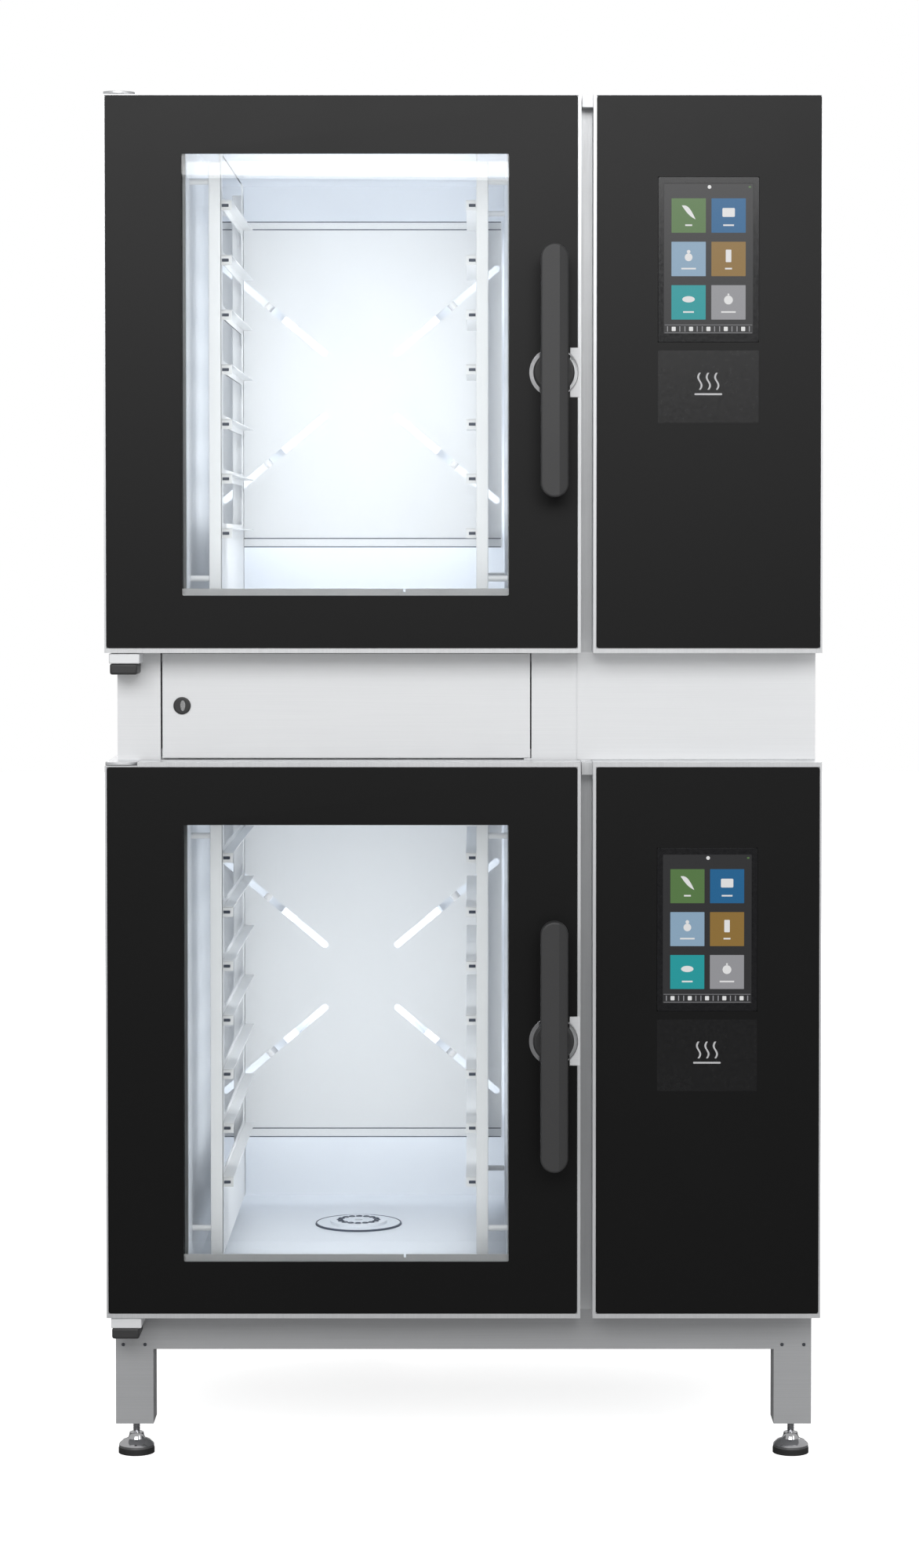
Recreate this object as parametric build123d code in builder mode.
from build123d import *
import os
from math import sqrt

# Two combi steamer ovens, one on the other, with a stacking band between them and a tube stand below.
# Millimetres. +X is to the viewer's right, -Y is the front and +Z is up.
# The origin is on the floor, under the middle of the whole object's box.
os.makedirs("parts", exist_ok=True)

# Overall sizes
cabinet_width = 937
oven_height = 731
casing_depth = 760
band_height = 143
stand_height = 198
sheet = 2  # folded stainless sheet

# Door and control panel
control_width = 299
channel_width = 16  # open channel between the door and the control panel
door_depth = 60  # from the casing's face to the glass's face
glass_thickness = 5
glass_proud = 1  # how far the glass stands out of its metal rim
glass_clearance = 0.5
rim_side = 3
rim_channel = 4.5
rim_end = 6.5
window_margin_left = 102
window_margin_right = 94
window_margin_low = 75
window_margin_high = 82
frame_opening_margin = 14  # the door frame's opening is this much larger than the window
inner_glass_margin = 12  # inner glass beyond the gasket
gasket_depth = 7.5
gasket_width = 12
gasket_inset = 4  # from the cavity mouth to the gasket
gasket_clearance = 0.5

# Cavity
cavity_depth = 650
cavity_over_window = 1  # cavity half narrower than the window on each side
cavity_floor = 32
roof_space = 54
insulation_thickness = 25
front_plate = 4
channel_cap = 18  # height of the cap over the channel
tray_width = 325
tray_clearance = 8
post_width = 16
post_depth = 12
rail_pitch = 73
rail_first = 130  # lowest rail above the cavity floor
rail_lip = 14
rail_web = 12
rail_sheet = 1.5
rack_front = 56  # front post behind the cavity mouth
rack_length = 472
rack_end_gap = 26  # posts stop short of the floor and the roof
drain_radius = 45
grate_rim = 15  # how far the grate's rim reaches past the drain
grate_holes = 16
grate_hole_ring = 27
drain_forward = 226  # drain axis in front of the cavity's rear wall

# Air system
baffle_back = 551
baffle_gap_side = 4
baffle_gap_low = 105
baffle_gap_high = 61
slot_width = 10
slot_inner_x = 54
slot_inner_z = 47
slot_outer_x = 200
slot_outer_z = 170
baffle_post_radius = 5
wheel_radius = 150
wheel_width = 60
wheel_gap = 18  # from the baffle to the wheel
blade_count = 16
blade_length = 40
wheel_plate = 3
wheel_ring = 22  # width of the wheel's front ring
shaft_radius = 8
running_clearance = 0.05
motor_radius = 55
motor_length = 85
motor_flange = 60
heater_radius = 180
heater_tube = 5
heater_pitch = 20

# Handle and latch
handle_inset = 35.5  # handle axis from the door's channel edge
handle_reach = 62
handle_width = 36
handle_length = 326
handle_thickness = 22
boss_radius = 29.5
boss_thickness = 11
neck_radius = 14
spindle_radius = 8
spindle_collar = 3
latch_depth = 18  # how far the tongue reaches behind the casing's face
tongue_length = 34
tongue_width = 14
tongue_thickness = 10
keeper_half_width = 24
keeper_half_height = 26
keeper_wall = 4
keeper_depth = 20
notch_height = 65
notch_depth = 10

# Door hinges
hinge_inset = 18.5  # pin axis from the door's left edge
hinge_forward = 36  # pin axis in front of the casing's face
pin_radius = 6
bracket_width = 40
bracket_inset = 5.5
bracket_thickness = 13
bracket_gap = 1
cap_height = 14.5
top_plate = 4
top_gap = 0.5
flange_height = 30
hinge_boss = 24
hinge_boss_height = 20
pin_reach = 14

# Touch screen
screen_width = 131
screen_height = 214
screen_drop = 112  # from the oven's top to the screen's top edge
screen_clearance = 0.3
screen_proud = 0.5
module_margin = 5
module_depth = 12

# Band between the ovens
band_inset_left = 11
band_inset_right = 5.5
column_width = 57
flap_width = 486
flap_gap = 2.5
flap_depth = 10
flap_bar = 6
flap_pin_radius = 1.5
flap_pin_inset = 2  # pin axis from the flap's right edge
flap_pin_back = 3  # pin axis behind the flap's face
flap_tab = 2
band_rail = 14
cover_gap = 60.5
cover_return = 150
lock_radius = 11.5
lock_body = 8
lock_inset = 26
lock_head = 3
cam_length = 14
cam_width = 8
cam_thickness = 3

# Stand
leg_width = 50
leg_inset = 6
foot_height = 44  # floor to the leg's lower end
leg_plate = 6
beam_height = 54
beam_depth = 30
foot_radius = 24
sole_height = 8
disc_height = 19
stem_radius = 5
stem_length = 80

# Services at the back
fitting_reach = 20
pipe_radius = 25
pipe_wall = 2
pipe_drop = 84
pipe_bend = 45
pipe_clearance = 1
spigot_step = 1  # the free end of a fitting is this much thinner than its pipe
spigot_length = 18
sump_depth = 24
inlet_radius = 13
inlet_height = 120
inlet_side = 110
valve_size = 44
board_length = 300
board_height = 400
board_back = 150  # from the casing's face to the board, and from its base
board_stud = 5  # half a stud's width
board_edge = 30  # from the board's edges to its studs
# Each component's place along and up the board, length, height and reach
board_components = ((10, 40, 60, 70, 60), (130, 60, 50, 50, 45), (70, 260, 90, 60, 40), (210, 250, 40, 120, 30))
louvre_count = 9
louvre_pitch = 24
louvre_length = 150
louvre_height = 6

# Places worked out from the sizes above
total_depth = handle_reach + door_depth + casing_depth + fitting_reach
face_y = -total_depth / 2 + handle_reach + door_depth  # the casing's front face
back_y = face_y + casing_depth
left_x = -cabinet_width / 2
right_x = cabinet_width / 2
control_left = right_x - control_width
door_right = control_left - channel_width
window_left = left_x + window_margin_left
window_right = door_right - window_margin_right
cavity_x = (window_left + window_right) / 2
cavity_half = (window_right - window_left) / 2 - cavity_over_window
cavity_top = oven_height - roof_space
window_top = oven_height - window_margin_high
glass_face_y = face_y - door_depth
glass_back_y = glass_face_y + glass_thickness
rim_y = glass_face_y + glass_proud
frame_back_y = face_y - gasket_depth - gasket_clearance - glass_thickness
mouth_y = face_y + front_plate
cavity_back_y = mouth_y + cavity_depth
fan_z = (cavity_floor + baffle_gap_low + cavity_top - baffle_gap_high) / 2
handle_x = door_right - handle_inset
handle_z = oven_height / 2
hinge_x = left_x + hinge_inset
hinge_y = face_y - hinge_forward
control_x = (control_left + right_x) / 2
screen_top = oven_height - screen_drop
screen_low = screen_top - screen_height
lower_base = stand_height
band_base = lower_base + oven_height
upper_base = band_base + band_height
band_left = left_x + band_inset_left
band_right = right_x - band_inset_right
flap_left = band_left + column_width + flap_gap
flap_right = flap_left + flap_width
flap_pin_x = flap_right - flap_pin_inset
flap_pin_y = face_y + flap_pin_back
cover_left = flap_right + flap_pin_inset + cover_gap
lock_x = flap_left + lock_inset
lock_z = band_base + band_height / 2
drain_x = cavity_x
drain_y = cavity_back_y - drain_forward
leg_x = right_x - leg_inset - leg_width / 2
rear_leg_y = back_y - leg_width / 2
front_leg_y = face_y + leg_width / 2
rack_low = cavity_floor + rack_end_gap
rack_high = cavity_top - rack_end_gap
rail_count = int((rack_high - cavity_floor - rail_first) // rail_pitch) + 1


def block(x0, x1, y0, y1, z0, z1, mode=Mode.ADD):
    """Add or cut a box given by its limits."""
    with Locations(((x0 + x1) / 2, (y0 + y1) / 2, (z0 + z1) / 2)):
        Box(x1 - x0, y1 - y0, z1 - z0, mode=mode)


def rod_y(x, z, radius, y0, y1, mode=Mode.ADD):
    """Add or cut a round bar that runs front to back."""
    with Locations(Location((x, (y0 + y1) / 2, z), (90, 0, 0))):
        Cylinder(radius, y1 - y0, mode=mode)


def rod_z(x, y, radius, z0, z1, mode=Mode.ADD):
    """Add or cut an upright round bar."""
    with Locations((x, y, (z0 + z1) / 2)):
        Cylinder(radius, z1 - z0, mode=mode)


def front_plane(y):
    """The plane at depth y, facing the viewer: its local x and y are X and Z."""
    return Plane.XZ.offset(-y)


def save(part, name):
    """Label a finished piece and write it."""
    part.label = name
    export_step(part, f"parts/{name}.step")


# Casing and cavity
def make_casing(oven, base):
    """Folded outer shell: roof, floor and sides."""
    with BuildPart() as casing:
        block(left_x, right_x, face_y, back_y, base, base + oven_height)
        block(left_x + sheet, right_x - sheet, face_y - 1, back_y + 1,
              base + sheet, base + oven_height - sheet, Mode.SUBTRACT)
        rod_z(drain_x, drain_y, pipe_radius + pipe_clearance, base - 1, base + sheet + 1, Mode.SUBTRACT)
    save(casing.part, f"{oven}_casing")


def make_back_panel(oven, base):
    """Rear cover with cooling slots and the hole for the water inlet."""
    middle_z = base + oven_height / 2
    with BuildPart() as panel:
        block(left_x + sheet, right_x - sheet, back_y - 2 * sheet, back_y - sheet,
              base + sheet, base + oven_height - sheet)
        with BuildSketch(front_plane(back_y)):
            with Locations((control_x - inlet_side / 2, middle_z)):
                with GridLocations(1, louvre_pitch, 1, louvre_count):
                    SlotOverall(louvre_length, louvre_height)
        extrude(amount=3 * sheet, mode=Mode.SUBTRACT)
        rod_y(control_x, base + inlet_height, inlet_radius + pipe_clearance,
              back_y - 3 * sheet, back_y, Mode.SUBTRACT)
    save(panel.part, f"{oven}_back_panel")


def make_front_frame(oven, base):
    """Face sheet round the cavity mouth, with the latch slot and the cap over the channel."""
    with BuildPart() as frame:
        block(left_x + sheet, right_x - sheet, face_y, mouth_y, base + sheet, base + oven_height - sheet)
        block(cavity_x - cavity_half, cavity_x + cavity_half, face_y - 1, mouth_y + 1,
              base + cavity_floor, base + cavity_top, Mode.SUBTRACT)
        block(handle_x - keeper_half_width, handle_x + keeper_half_width, face_y - 1, mouth_y + 1,
              base + handle_z - keeper_half_height, base + handle_z + keeper_half_height, Mode.SUBTRACT)
        block(door_right + sheet, control_left, face_y - door_depth / 2, face_y,
              base + oven_height - channel_cap, base + oven_height - sheet)
    save(frame.part, f"{oven}_front_frame")


def make_cavity_liner(oven, base):
    """Deep-drawn cavity with the drain sump below its floor."""
    low = base + cavity_floor
    high = base + cavity_top
    sump_low = low - sheet - sump_depth
    with BuildPart() as liner:
        block(cavity_x - cavity_half - sheet, cavity_x + cavity_half + sheet, mouth_y,
              cavity_back_y + sheet, low - sheet, high + sheet)
        rod_z(drain_x, drain_y, drain_radius + sheet, sump_low, low - sheet)
        block(cavity_x - cavity_half, cavity_x + cavity_half, mouth_y - 1, cavity_back_y,
              low, high, Mode.SUBTRACT)
        rod_z(drain_x, drain_y, drain_radius, sump_low + sheet, low, Mode.SUBTRACT)
        rod_z(drain_x, drain_y, pipe_radius - pipe_wall, sump_low - 1, low, Mode.SUBTRACT)
        rod_y(cavity_x, base + fan_z, shaft_radius + 2 * pipe_clearance, cavity_back_y - 1,
              cavity_back_y + sheet + 1, Mode.SUBTRACT)
    save(liner.part, f"{oven}_cavity_liner")


def make_insulation(oven, base):
    """Mineral wool blanket round the liner, open at the mouth, the motor and the sump."""
    inner_half = cavity_half + sheet
    outer_half = inner_half + insulation_thickness
    low = base + cavity_floor - sheet
    high = base + cavity_top + sheet
    inner_back = cavity_back_y + sheet
    outer_back = inner_back + insulation_thickness
    with BuildPart() as blanket:
        block(cavity_x - outer_half, cavity_x + outer_half, mouth_y, outer_back,
              low - insulation_thickness, high + insulation_thickness)
        block(cavity_x - inner_half, cavity_x + inner_half, mouth_y - 1, inner_back, low, high,
              Mode.SUBTRACT)
        rod_y(cavity_x, base + fan_z, motor_flange + sheet, inner_back - 1, outer_back + 1, Mode.SUBTRACT)
        rod_z(drain_x, drain_y, drain_radius + 2 * sheet, low - insulation_thickness - 1, low + 1,
              Mode.SUBTRACT)
    save(blanket.part, f"{oven}_insulation")


def make_gasket(oven, base):
    """Rubber seal on the face sheet, round the cavity mouth."""
    inner_width = 2 * (cavity_half + gasket_inset)
    inner_height = cavity_top - cavity_floor + 2 * gasket_inset
    with BuildPart() as gasket:
        with BuildSketch(front_plane(face_y)):
            with Locations((cavity_x, base + (cavity_floor + cavity_top) / 2)):
                RectangleRounded(inner_width + 2 * gasket_width, inner_height + 2 * gasket_width,
                                 2 * gasket_width)
                RectangleRounded(inner_width, inner_height, gasket_width, mode=Mode.SUBTRACT)
        extrude(amount=gasket_depth)
    save(gasket.part, f"{oven}_door_gasket")


# Air system
def make_fan_baffle(oven, base):
    """Plate in front of the fan, with four slanted slots and four standoffs."""
    half = cavity_half - baffle_gap_side
    low = base + cavity_floor + baffle_gap_low
    high = base + cavity_top - baffle_gap_high
    plate_y = mouth_y + baffle_back
    post_x = half - 3 * baffle_post_radius
    with BuildPart() as baffle:
        block(cavity_x - half, cavity_x + half, plate_y, plate_y + sheet, low, high)
        with BuildSketch(front_plane(plate_y + 2 * sheet)):
            for side in (-1, 1):
                for way in (-1, 1):
                    inner = (cavity_x + side * slot_inner_x, base + fan_z + way * slot_inner_z)
                    outer = (cavity_x + side * slot_outer_x, base + fan_z + way * slot_outer_z)
                    centre = ((inner[0] + outer[0]) / 2, (inner[1] + outer[1]) / 2)
                    SlotCenterPoint(centre, outer, slot_width)
        extrude(amount=3 * sheet, mode=Mode.SUBTRACT)
        for side in (-1, 1):
            for level in (low + 3 * baffle_post_radius, high - 3 * baffle_post_radius):
                rod_y(cavity_x + side * post_x, level, baffle_post_radius, plate_y + sheet, cavity_back_y)
    save(baffle.part, f"{oven}_fan_baffle")


def make_fan_wheel(oven, base):
    """Radial wheel with its hub and the shaft that runs back into the motor."""
    front = mouth_y + baffle_back + wheel_gap
    back = front + wheel_width
    wheel_z = base + fan_z
    with BuildPart() as wheel:
        rod_y(cavity_x, wheel_z, wheel_radius, back - wheel_plate, back)
        rod_y(cavity_x, wheel_z, wheel_radius, front, front + wheel_plate)
        rod_y(cavity_x, wheel_z, wheel_radius - wheel_ring, front - 1, front + wheel_plate, Mode.SUBTRACT)
        rod_y(cavity_x, wheel_z, 3 * shaft_radius, front + wheel_width / 2, back)
        rod_y(cavity_x, wheel_z, shaft_radius, back, cavity_back_y + motor_length / 2)
        blade_plane = Plane(origin=(cavity_x, back - wheel_plate / 2, wheel_z), x_dir=(1, 0, 0), z_dir=(0, -1, 0))
        with BuildSketch(blade_plane):
            with PolarLocations(wheel_radius - blade_length / 2 - 1, blade_count):
                Rectangle(blade_length, sheet)
        extrude(amount=wheel_width - wheel_plate)
    save(wheel.part, f"{oven}_fan_wheel")


def make_fan_motor(oven, base):
    """Motor bolted to the outside of the cavity's rear wall."""
    start = cavity_back_y + sheet
    bore_end = cavity_back_y + motor_length / 2 + 2
    with BuildPart() as motor:
        rod_y(cavity_x, base + fan_z, motor_flange, start, start + 2 * sheet)
        rod_y(cavity_x, base + fan_z, motor_radius, start + 2 * sheet, start + motor_length)
        rod_y(cavity_x, base + fan_z, shaft_radius + running_clearance, start - 1, bore_end, Mode.SUBTRACT)
    save(motor.part, f"{oven}_fan_motor")


def make_heater_ring(oven, base):
    """Three turns of heating tube round the wheel, on two clamp bars from the rear wall."""
    first = mouth_y + baffle_back + wheel_gap + 2 * heater_tube
    lead_half = heater_tube + 1
    lead_x = 3 * heater_tube
    lead_z = base + fan_z + sqrt(heater_radius**2 - lead_x**2)
    with BuildPart() as heater:
        for turn in range(3):
            with Locations(Location((cavity_x, first + turn * heater_pitch, base + fan_z), (90, 0, 0))):
                Torus(heater_radius, heater_tube)
        for side in (-1, 1):
            x = cavity_x + side * lead_x
            block(x - lead_half, x + lead_half, first - lead_half, cavity_back_y,
                  lead_z - lead_half, lead_z + lead_half)
    save(heater.part, f"{oven}_heater_ring")


# Racks and drain
def make_side_racks(oven, base):
    """Left and right hanging racks: two posts each, joined by tray rails."""
    inner = tray_width / 2 + tray_clearance
    front = mouth_y + rack_front
    rear = front + rack_length
    with BuildPart() as racks:
        for side in (-1, 1):
            inner_x = cavity_x + side * inner
            outer_x = cavity_x + side * (inner + post_width)
            wall_x = cavity_x + side * cavity_half
            for post_y in (front, rear - post_depth):
                block(min(inner_x, outer_x), max(inner_x, outer_x), post_y, post_y + post_depth,
                      base + rack_low, base + rack_high)
                for level in (rack_low + 2 * post_width, rack_high - 2 * post_width):
                    block(min(outer_x, wall_x), max(outer_x, wall_x), post_y + 2, post_y + post_depth - 2,
                          base + level, base + level + post_depth)
            for step in range(rail_count):
                level = base + cavity_floor + rail_first + step * rail_pitch
                lip_x = inner_x - side * rail_lip
                web_x = inner_x + side * rail_sheet
                block(min(inner_x, lip_x), max(inner_x, lip_x), front, rear, level, level + rail_sheet)
                block(min(inner_x, web_x), max(inner_x, web_x), front, rear, level, level + rail_web)
    save(racks.part, f"{oven}_side_racks")


def make_drain_grate(oven, base):
    """Loose strainer over the drain: a rim, a low dome and a ring of holes."""
    floor_z = base + cavity_floor
    rim = drain_radius + grate_rim
    with BuildPart() as grate:
        rod_z(drain_x, drain_y, rim, floor_z, floor_z + sheet)
        rod_z(drain_x, drain_y, drain_radius - 2 * sheet, floor_z + sheet, floor_z + 3 * sheet)
        rod_z(drain_x, drain_y, drain_radius - 1, floor_z - 4 * sheet, floor_z)
        rod_z(drain_x, drain_y, drain_radius - 1 - sheet, floor_z - 5 * sheet, floor_z, Mode.SUBTRACT)
        with BuildSketch(Plane.XY.offset(floor_z)):
            with Locations((drain_x, drain_y)):
                Circle(3 * sheet)
                with PolarLocations(grate_hole_ring, grate_holes):
                    Circle(2 * sheet)
        extrude(amount=5 * sheet, mode=Mode.SUBTRACT)
    save(grate.part, f"{oven}_drain_grate")


# Door
def make_door_frame(oven, base):
    """Hollow folded frame with the glass pocket, hinge blocks, latch tube and vent slots."""
    top = base + oven_height
    web_back = glass_back_y + sheet
    opening_left = window_left - frame_opening_margin
    opening_right = window_right + frame_opening_margin
    opening_low = base + window_margin_low - frame_opening_margin
    opening_top = base + window_top + frame_opening_margin
    boss_low = hinge_x - hinge_boss / 2
    corner_z = top - top_plate - top_gap
    with BuildPart() as frame:
        block(left_x, door_right, rim_y, frame_back_y, base, top)
        with BuildSketch(front_plane(frame_back_y - sheet)):
            with Locations(((left_x + door_right) / 2, base + oven_height / 2)):
                Rectangle(door_right - left_x - 2 * sheet, oven_height - 2 * sheet)
            with Locations(((opening_left + opening_right) / 2, (opening_low + opening_top) / 2)):
                Rectangle(opening_right - opening_left + 2 * sheet, opening_top - opening_low + 2 * sheet,
                          mode=Mode.SUBTRACT)
        extrude(amount=frame_back_y - sheet - web_back, mode=Mode.SUBTRACT)
        block(opening_left, opening_right, rim_y - 1, frame_back_y + 1, opening_low, opening_top,
              Mode.SUBTRACT)
        block(left_x + rim_side - glass_clearance, door_right - rim_channel + glass_clearance,
              rim_y - 1, glass_back_y, base + rim_end - glass_clearance,
              top - rim_end + glass_clearance, Mode.SUBTRACT)
        block(left_x - 1, hinge_x + hinge_boss, rim_y - 1, frame_back_y + 1, corner_z, top + 1,
              Mode.SUBTRACT)
        block(left_x, hinge_x + hinge_boss, web_back - sheet, frame_back_y, corner_z - sheet, corner_z)
        for low in (base, corner_z - hinge_boss_height):
            block(boss_low, boss_low + hinge_boss, hinge_y - hinge_boss / 2, hinge_y + hinge_boss / 2 - 2,
                  low, low + hinge_boss_height)
        rod_z(hinge_x, hinge_y, pin_radius + running_clearance, base - 1, base + pin_reach + 2,
              Mode.SUBTRACT)
        rod_z(hinge_x, hinge_y, pin_radius + running_clearance, corner_z - pin_reach - 2, top + 1,
              Mode.SUBTRACT)
        rod_y(handle_x, base + handle_z, spindle_radius + spindle_collar, glass_back_y, frame_back_y)
        rod_y(handle_x, base + handle_z, spindle_radius + running_clearance, glass_back_y - 1,
              frame_back_y + 1, Mode.SUBTRACT)
        with BuildSketch(Plane.XY.offset(base - 1)):
            with Locations((cavity_x, (web_back + frame_back_y) / 2)):
                with GridLocations(3 * hinge_boss, 1, 6, 1):
                    SlotOverall(2 * hinge_boss, louvre_height)
        extrude(amount=oven_height + 2, mode=Mode.SUBTRACT)
    save(frame.part, f"{oven}_door_frame")


def make_door_glass(oven, base):
    """Outer pane, with the hole for the spindle and the notch beside the boss."""
    left = left_x + rim_side
    right = door_right - rim_channel
    low = base + rim_end
    high = base + oven_height - rim_end
    with BuildPart() as pane:
        with BuildSketch(front_plane(glass_back_y)):
            with Locations(((left + right) / 2, (low + high) / 2)):
                RectangleRounded(right - left, high - low, rim_side)
            with Locations((handle_x, base + handle_z)):
                Circle(neck_radius, mode=Mode.SUBTRACT)
            with Locations((right, base + handle_z)):
                Rectangle(2 * notch_depth, notch_height, mode=Mode.SUBTRACT)
        extrude(amount=glass_thickness)
    save(pane.part, f"{oven}_door_glass")


def make_inner_glass(oven, base):
    """Inner pane on the back of the door, which the gasket seals against."""
    half_width = cavity_half + gasket_inset + gasket_width + inner_glass_margin
    low = base + cavity_floor - gasket_inset - gasket_width
    high = base + cavity_top + gasket_inset + gasket_width
    with BuildPart() as pane:
        with BuildSketch(front_plane(frame_back_y + glass_thickness)):
            with Locations((cavity_x, (low + high) / 2)):
                RectangleRounded(2 * half_width, high - low, rim_end)
        extrude(amount=glass_thickness)
    save(pane.part, f"{oven}_inner_glass")


def make_handle(oven, base):
    """Upright bar with rounded ends on a round boss."""
    centre_z = base + handle_z
    bar_front = glass_face_y - handle_reach
    bar_back = bar_front + handle_thickness
    boss_front = glass_face_y - glass_clearance - boss_thickness
    with BuildPart() as handle:
        with BuildSketch(front_plane(bar_back)):
            with Locations((handle_x, centre_z)):
                SlotOverall(handle_length, handle_width, rotation=90)
        extrude(amount=handle_thickness)
        fillet(handle.faces().sort_by(Axis.Y)[0].edges(), radius=handle_thickness / 4)
        rod_y(handle_x, centre_z, neck_radius, bar_back, boss_front)
        rod_y(handle_x, centre_z, boss_radius, boss_front, glass_face_y - glass_clearance)
    save(handle.part, f"{oven}_handle")


def make_latch_spindle(oven, base):
    """Spindle that turns with the handle, with the latch tongue at its inner end."""
    end_y = face_y + latch_depth
    with BuildPart() as spindle:
        rod_y(handle_x, base + handle_z, spindle_radius, glass_face_y - glass_clearance, end_y)
        block(handle_x - tongue_width / 2, handle_x + tongue_width / 2, end_y - tongue_thickness, end_y,
              base + handle_z - tongue_length / 2, base + handle_z + tongue_length / 2)
    save(spindle.part, f"{oven}_latch_spindle")


def make_latch_keeper(oven, base):
    """Keeper behind the face sheet: a collar that the tongue turns in."""
    wide = keeper_half_width + keeper_wall
    tall = keeper_half_height + keeper_wall
    with BuildPart() as keeper:
        block(handle_x - wide, handle_x + wide, mouth_y, mouth_y + keeper_depth,
              base + handle_z - tall, base + handle_z + tall)
        block(handle_x - keeper_half_width, handle_x + keeper_half_width, mouth_y - 1,
              mouth_y + keeper_depth + 1, base + handle_z - keeper_half_height,
              base + handle_z + keeper_half_height, Mode.SUBTRACT)
    save(keeper.part, f"{oven}_latch_keeper")


def make_hinge_brackets(oven, base):
    """Lower arm with its black cap, and the top plate, round in front so the door clears it."""
    arm_left = left_x + bracket_inset
    arm_top = base - bracket_gap
    arm_low = arm_top - bracket_thickness
    cap_low = arm_low - cap_height
    plate_low = base + oven_height - top_plate
    plate_radius = hinge_boss - bracket_gap
    bore = pin_radius + running_clearance
    with BuildPart() as brackets:
        block(arm_left, arm_left + bracket_width, glass_face_y + 2 * sheet, face_y, arm_low, arm_top)
        block(arm_left + sheet, arm_left + bracket_width - sheet, glass_face_y + 3 * sheet,
              face_y - sheet, cap_low, arm_low)
        rod_z(hinge_x, hinge_y, bore, cap_low + 2 * sheet, arm_top + 1, Mode.SUBTRACT)
        block(left_x, hinge_x + plate_radius, hinge_y, face_y, plate_low, base + oven_height)
        with BuildSketch(Plane.XY.offset(plate_low)):
            with Locations((hinge_x, hinge_y)):
                Circle(plate_radius)
            with Locations((left_x - plate_radius, hinge_y)):
                Rectangle(2 * plate_radius, 4 * plate_radius, mode=Mode.SUBTRACT)
        extrude(amount=top_plate)
        block(left_x, hinge_x + pin_radius, face_y - sheet, face_y, plate_low - flange_height, plate_low)
        rod_z(hinge_x, hinge_y, bore, plate_low - 1, base + oven_height - 1, Mode.SUBTRACT)
    save(brackets.part, f"{oven}_hinge_brackets")


def make_hinge_pins(oven, base):
    """Lower and upper pivot pins of the door."""
    cap_low = base - bracket_gap - bracket_thickness - cap_height
    corner_z = base + oven_height - top_plate - top_gap
    with BuildPart() as pins:
        rod_z(hinge_x, hinge_y, pin_radius, cap_low + 2 * sheet, base + pin_reach)
        rod_z(hinge_x, hinge_y, pin_radius, corner_z - pin_reach, base + oven_height - 1)
    save(pins.part, f"{oven}_hinge_pins")


# Control side
def make_control_frame(oven, base):
    """Shallow box that carries the control glass, open at the back."""
    top = base + oven_height
    web_back = glass_back_y + sheet
    half = screen_width / 2 + screen_clearance
    with BuildPart() as frame:
        block(control_left, right_x, rim_y, face_y, base, top)
        block(control_left + sheet, right_x - sheet, web_back, face_y + 1, base + sheet, top - sheet,
              Mode.SUBTRACT)
        block(control_left + rim_channel - glass_clearance, right_x - rim_side + glass_clearance,
              rim_y - 1, glass_back_y, base + rim_end - glass_clearance,
              top - rim_end + glass_clearance, Mode.SUBTRACT)
        block(control_x - half, control_x + half, glass_back_y - 1, web_back + 1,
              base + screen_low - screen_clearance, base + screen_top + screen_clearance, Mode.SUBTRACT)
    save(frame.part, f"{oven}_control_frame")


def make_control_glass(oven, base):
    """Black pane of the control panel, with the opening for the screen."""
    left = control_left + rim_channel
    right = right_x - rim_side
    with BuildPart() as pane:
        with BuildSketch(front_plane(glass_back_y)):
            with Locations(((left + right) / 2, base + oven_height / 2)):
                RectangleRounded(right - left, oven_height - 2 * rim_end, rim_side)
            with Locations((control_x, base + (screen_low + screen_top) / 2)):
                Rectangle(screen_width + 2 * screen_clearance, screen_height + 2 * screen_clearance,
                          mode=Mode.SUBTRACT)
        extrude(amount=glass_thickness)
    save(pane.part, f"{oven}_control_glass")


def make_touch_screen(oven, base):
    """Screen module: the visible front, and a flange behind the panel's web."""
    half = screen_width / 2
    web_back = glass_back_y + sheet
    with BuildPart() as screen:
        block(control_x - half, control_x + half, glass_face_y - screen_proud, web_back,
              base + screen_low, base + screen_top)
        block(control_x - half - module_margin, control_x + half + module_margin, web_back,
              web_back + module_depth, base + screen_low - module_margin,
              base + screen_top + module_margin)
    save(screen.part, f"{oven}_touch_screen")


def make_control_board(oven, base):
    """Power board on the casing's right wall, with its larger components."""
    wall_x = right_x - sheet
    board_x = wall_x - 3 * sheet
    start_y = face_y + board_back
    low = base + board_back
    with BuildPart() as board:
        block(board_x, board_x + sheet, start_y, start_y + board_length, low, low + board_height)
        for y in (start_y + board_edge, start_y + board_length - board_edge):
            for z in (low + board_edge, low + board_height - board_edge):
                block(board_x + sheet, wall_x, y - board_stud, y + board_stud, z - board_stud, z + board_stud)
        for along, up, length, height, reach in board_components:
            block(board_x - reach, board_x, start_y + along, start_y + along + length,
                  low + up, low + up + height)
    save(board.part, f"{oven}_control_board")


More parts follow.
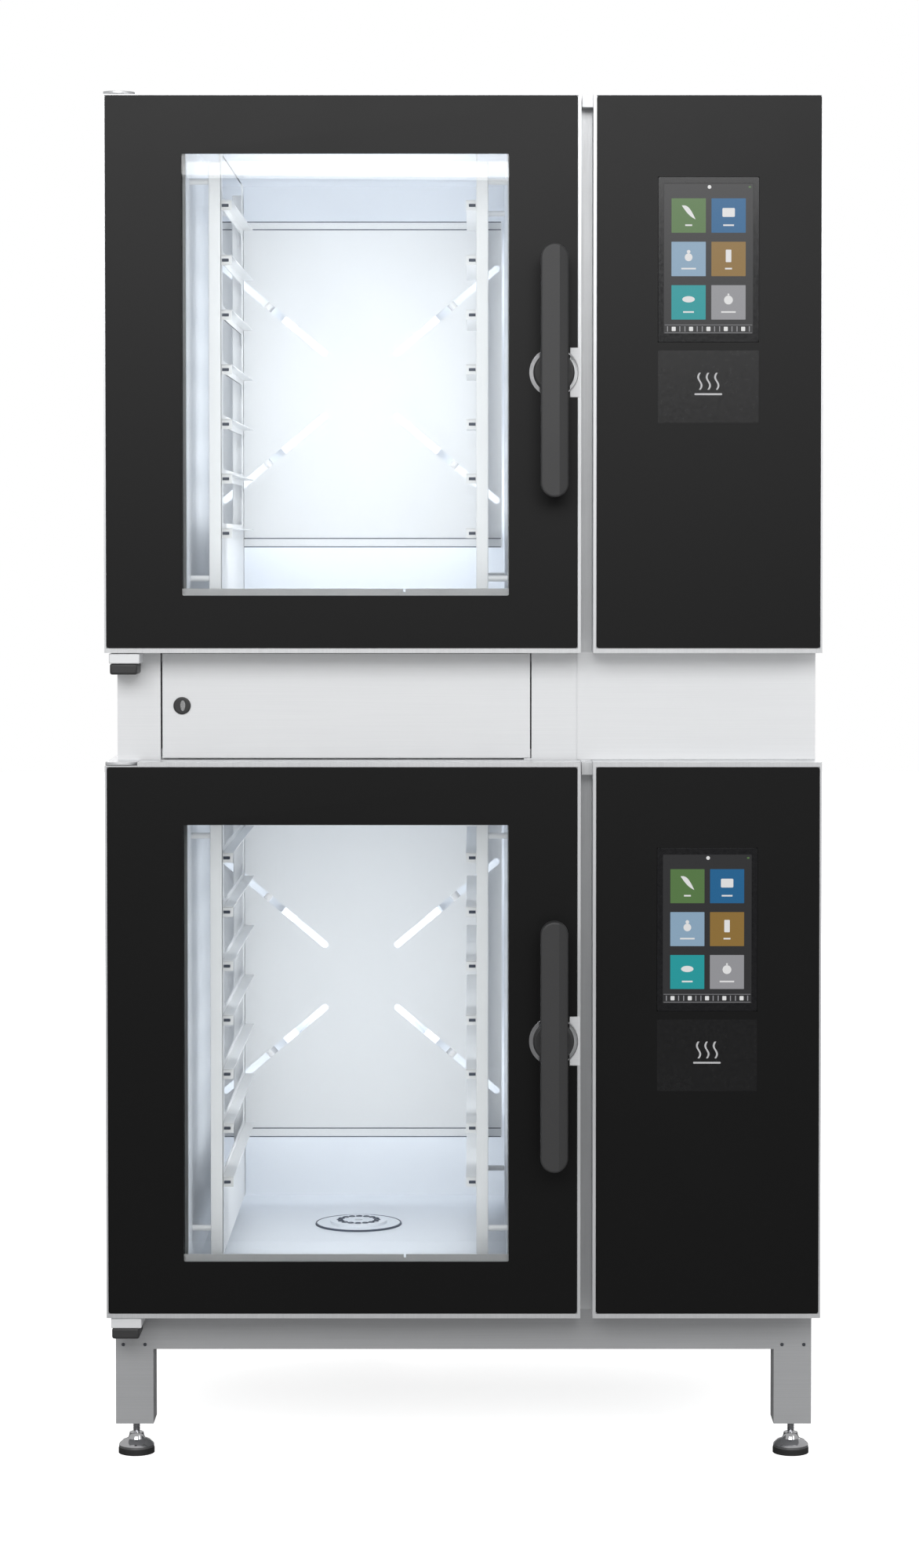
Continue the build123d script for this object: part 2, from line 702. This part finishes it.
def make_oven(oven, base):
    """All the pieces of one oven that stands at height base."""
    make_casing(oven, base)
    make_back_panel(oven, base)
    make_front_frame(oven, base)
    make_cavity_liner(oven, base)
    make_insulation(oven, base)
    make_gasket(oven, base)
    make_fan_baffle(oven, base)
    make_fan_wheel(oven, base)
    make_fan_motor(oven, base)
    make_heater_ring(oven, base)
    make_side_racks(oven, base)
    make_drain_grate(oven, base)
    make_door_frame(oven, base)
    make_door_glass(oven, base)
    make_inner_glass(oven, base)
    make_handle(oven, base)
    make_latch_spindle(oven, base)
    make_latch_keeper(oven, base)
    make_hinge_brackets(oven, base)
    make_hinge_pins(oven, base)
    make_control_frame(oven, base)
    make_control_glass(oven, base)
    make_touch_screen(oven, base)
    make_control_board(oven, base)


# Services of both ovens
def make_drain_pipes():
    """Bent outlet pipe under each sump, out to the back."""
    with BuildPart() as pipes:
        for base in (lower_base, upper_base):
            start = (drain_x, drain_y, base + cavity_floor - sheet - sump_depth)
            corner = (drain_x, drain_y, base - pipe_drop)
            end = (drain_x, back_y + fitting_reach - spigot_length, base - pipe_drop)
            with BuildLine() as path:
                FilletPolyline(start, corner, end, radius=pipe_bend)
            with BuildSketch(Plane(origin=start, z_dir=(0, 0, -1))) as section:
                Circle(pipe_radius)
                Circle(pipe_radius - pipe_wall, mode=Mode.SUBTRACT)
            sweep(sections=section.sketch, path=path.line)
            with BuildSketch(front_plane(back_y + fitting_reach)):
                with Locations((drain_x, base - pipe_drop)):
                    Circle(pipe_radius - spigot_step)
                    Circle(pipe_radius - pipe_wall, mode=Mode.SUBTRACT)
            extrude(amount=spigot_length)
    save(pipes.part, "drain_pipes")


def make_water_inlets():
    """Solenoid valve of each oven, with its threaded stub through the back panel."""
    inner_y = back_y - 2 * sheet
    with BuildPart() as inlets:
        for base in (lower_base, upper_base):
            level = base + inlet_height
            block(control_x - valve_size / 2, control_x + valve_size / 2, inner_y - valve_size, inner_y,
                  level - valve_size / 2, level + valve_size / 2)
            rod_y(control_x, level, inlet_radius, inner_y, back_y + fitting_reach - spigot_length)
            rod_y(control_x, level, inlet_radius - spigot_step, inner_y, back_y + fitting_reach)
            rod_y(control_x, level, inlet_radius - 2 * sheet, inner_y, back_y + fitting_reach + 1,
                  Mode.SUBTRACT)
    save(inlets.part, "water_inlets")


# Band between the ovens
def make_band_frame():
    """Stacking frame: a ring of sheet with an opening for the flap, and the flap's two pivot tabs."""
    opening_left = flap_left - flap_gap
    opening_right = flap_right + flap_pin_inset
    top = band_base + band_height
    tab_left = flap_pin_x - flap_bar
    with BuildPart() as band:
        block(band_left, band_right, face_y, back_y, band_base, top)
        block(band_left + sheet, band_right - sheet, face_y + sheet, back_y - sheet,
              band_base - 1, top + 1, Mode.SUBTRACT)
        block(opening_left, opening_right, face_y - 1, face_y + sheet + 1, band_base - 1, top + 1,
              Mode.SUBTRACT)
        block(opening_left - sheet, opening_left, face_y, face_y + band_rail + sheet, band_base, top)
        block(opening_right, opening_right + sheet, face_y, face_y + band_rail + sheet, band_base, top)
        for low in (band_base, top - band_rail):
            block(opening_left, opening_right, face_y + band_rail, face_y + band_rail + sheet,
                  low, low + band_rail)
        for low in (band_base, top - flap_tab):
            block(tab_left, opening_right, face_y, face_y + band_rail, low, low + flap_tab)
        rod_z(flap_pin_x, flap_pin_y, flap_pin_radius + running_clearance, band_base - 1, top + 1,
              Mode.SUBTRACT)
        rod_y(drain_x, upper_base - pipe_drop, pipe_radius + pipe_clearance, back_y - 2 * sheet,
              back_y + 1, Mode.SUBTRACT)
    save(band.part, "band_frame")


def make_band_cover():
    """Cover sheet over the right of the band, folded back round the side."""
    low = band_base + glass_clearance
    high = band_base + band_height - glass_clearance
    with BuildPart() as cover:
        block(cover_left, band_right + sheet, face_y - sheet, face_y, low, high)
        block(band_right, band_right + sheet, face_y, face_y + cover_return, low, high)
    save(cover.part, "band_cover")


def make_access_flap():
    """Folded flap with a solid right edge, its two pivot pins and the bore for the lock."""
    low = band_base + flap_gap
    high = band_base + band_height - flap_gap
    with BuildPart() as flap:
        block(flap_left, flap_right, face_y, face_y + flap_depth, low, high)
        block(flap_left + sheet, flap_right + 1, face_y + sheet, face_y + flap_depth + 1,
              low + sheet, high - sheet, Mode.SUBTRACT)
        block(flap_right - 2 * flap_bar, flap_right + 1, face_y - 1, face_y + flap_depth + 1,
              low - 1, high + 1, Mode.SUBTRACT)
        block(flap_right - 2 * flap_bar, flap_right - flap_bar, face_y, face_y + sheet, low, high)
        block(flap_right - flap_bar, flap_right, face_y, face_y + flap_bar, low, high)
        rod_z(flap_pin_x, flap_pin_y, flap_pin_radius, band_base, band_base + band_height)
        rod_y(lock_x, lock_z, lock_body + sheet, face_y, face_y + flap_depth)
        rod_y(lock_x, lock_z, lock_body + running_clearance, face_y - 1, face_y + flap_depth + 1,
              Mode.SUBTRACT)
    save(flap.part, "access_flap")


def make_flap_lock():
    """Quarter-turn lock: head with a slot for the key, body and cam."""
    body_end = face_y + flap_depth
    with BuildPart() as lock:
        rod_y(lock_x, lock_z, lock_radius, face_y - lock_head, face_y)
        rod_y(lock_x, lock_z, lock_body, face_y, body_end)
        block(lock_x - cam_length, lock_x + cam_width / 2, body_end, body_end + cam_thickness,
              lock_z - cam_width / 2, lock_z + cam_width / 2)
        with BuildSketch(front_plane(face_y - lock_head / 2)):
            with Locations((lock_x, lock_z)):
                SlotOverall(lock_radius, 2 * sheet, rotation=90)
        extrude(amount=lock_head, mode=Mode.SUBTRACT)
    save(lock.part, "flap_lock")


# Stand
def make_stand_frame():
    """Four box beams between the legs."""
    beam_low = stand_height - beam_height
    inner_x = leg_x - leg_width / 2
    inner_front = face_y + leg_width
    inner_back = back_y - leg_width
    with BuildPart() as beams:
        for y0 in (face_y, back_y - beam_depth):
            block(-inner_x, inner_x, y0, y0 + beam_depth, beam_low, stand_height)
            block(-inner_x - 1, inner_x + 1, y0 + sheet, y0 + beam_depth - sheet,
                  beam_low + sheet, stand_height - sheet, Mode.SUBTRACT)
        for x0 in (-leg_x - leg_width / 2, inner_x + leg_width - beam_depth):
            block(x0, x0 + beam_depth, inner_front, inner_back, beam_low, stand_height)
            block(x0 + sheet, x0 + beam_depth - sheet, inner_front - 1, inner_back + 1,
                  beam_low + sheet, stand_height - sheet, Mode.SUBTRACT)
    save(beams.part, "stand_frame")


def make_stand_legs():
    """Four square tube legs, each with a plate for its foot."""
    with BuildPart() as legs:
        for x in (-leg_x, leg_x):
            for y in (front_leg_y, rear_leg_y):
                half = leg_width / 2
                block(x - half, x + half, y - half, y + half, foot_height, stand_height)
                block(x - half + sheet, x + half - sheet, y - half + sheet, y + half - sheet,
                      foot_height + leg_plate, stand_height + 1, Mode.SUBTRACT)
                rod_z(x, y, stem_radius + running_clearance, foot_height - 1, foot_height + leg_plate + 1,
                      Mode.SUBTRACT)
    save(legs.part, "stand_legs")


def make_foot(name, x, y):
    """Levelling foot: threaded stem, domed disc and rubber sole, turned in one profile."""
    disc_top = sole_height + disc_height
    with BuildPart() as foot:
        with BuildSketch(Plane(origin=(x, y, 0), x_dir=(1, 0, 0), z_dir=(0, -1, 0))):
            with BuildLine():
                Polyline((0, 0), (foot_radius, 0), (foot_radius, sole_height + 2),
                         (foot_radius * 0.6, disc_top - 5), (stem_radius * 1.8, disc_top),
                         (stem_radius, disc_top), (stem_radius, stem_length), (0, stem_length), (0, 0))
            make_face()
        revolve(axis=Axis((x, y, 0), (0, 0, 1)))
    save(foot.part, name)


make_oven("lower", lower_base)
make_oven("upper", upper_base)
make_drain_pipes()
make_water_inlets()
make_band_frame()
make_band_cover()
make_access_flap()
make_flap_lock()
make_stand_frame()
make_stand_legs()
for row, foot_y in (("front", front_leg_y), ("rear", rear_leg_y)):
    for hand, foot_x in (("left", -leg_x), ("right", leg_x)):
        make_foot(f"foot_{row}_{hand}", foot_x, foot_y)
